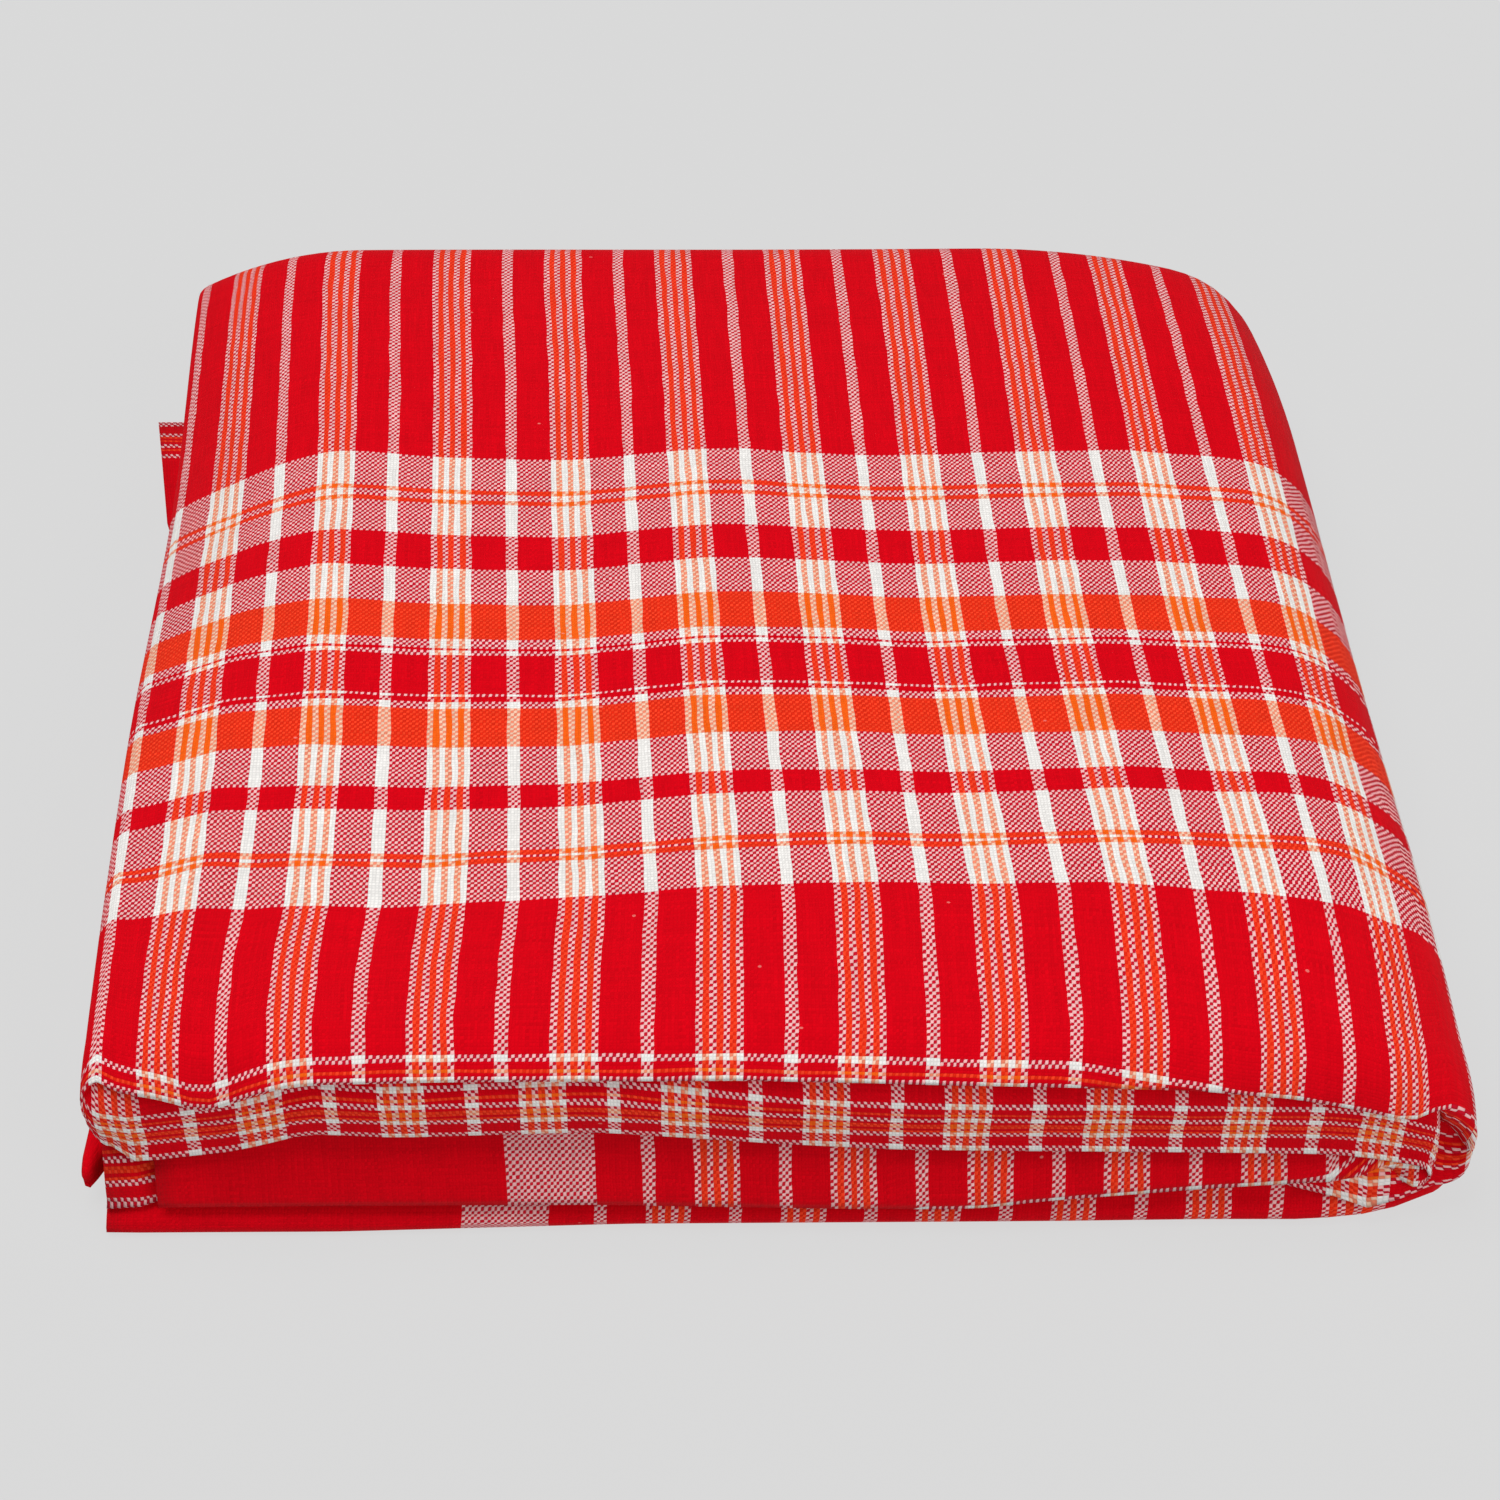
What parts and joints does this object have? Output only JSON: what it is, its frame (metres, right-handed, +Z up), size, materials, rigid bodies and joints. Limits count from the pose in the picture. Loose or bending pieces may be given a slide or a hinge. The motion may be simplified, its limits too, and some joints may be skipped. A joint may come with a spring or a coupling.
{
  "type": "folded gamcha towel",
  "caption": "Thin checked cotton gamcha towel, its width folded in four and its length folded back and forth, lying flat with its hems staggered at the front.",
  "frame": {"origin": "under the middle of the folded towel, on the surface it lies on", "axes": "+Z up, -Y towards the staggered hems at the front, +X to the right seen from the front"},
  "size_m": [0.2026, 0.1852, 0.0344],
  "materials": {
    "checked_cotton": "matte plain-woven cotton, red with white and orange stripes"
  },
  "bodies": {
    "root": {"gamcha_cloth": "checked_cotton"}
  },
  "joints": []
}
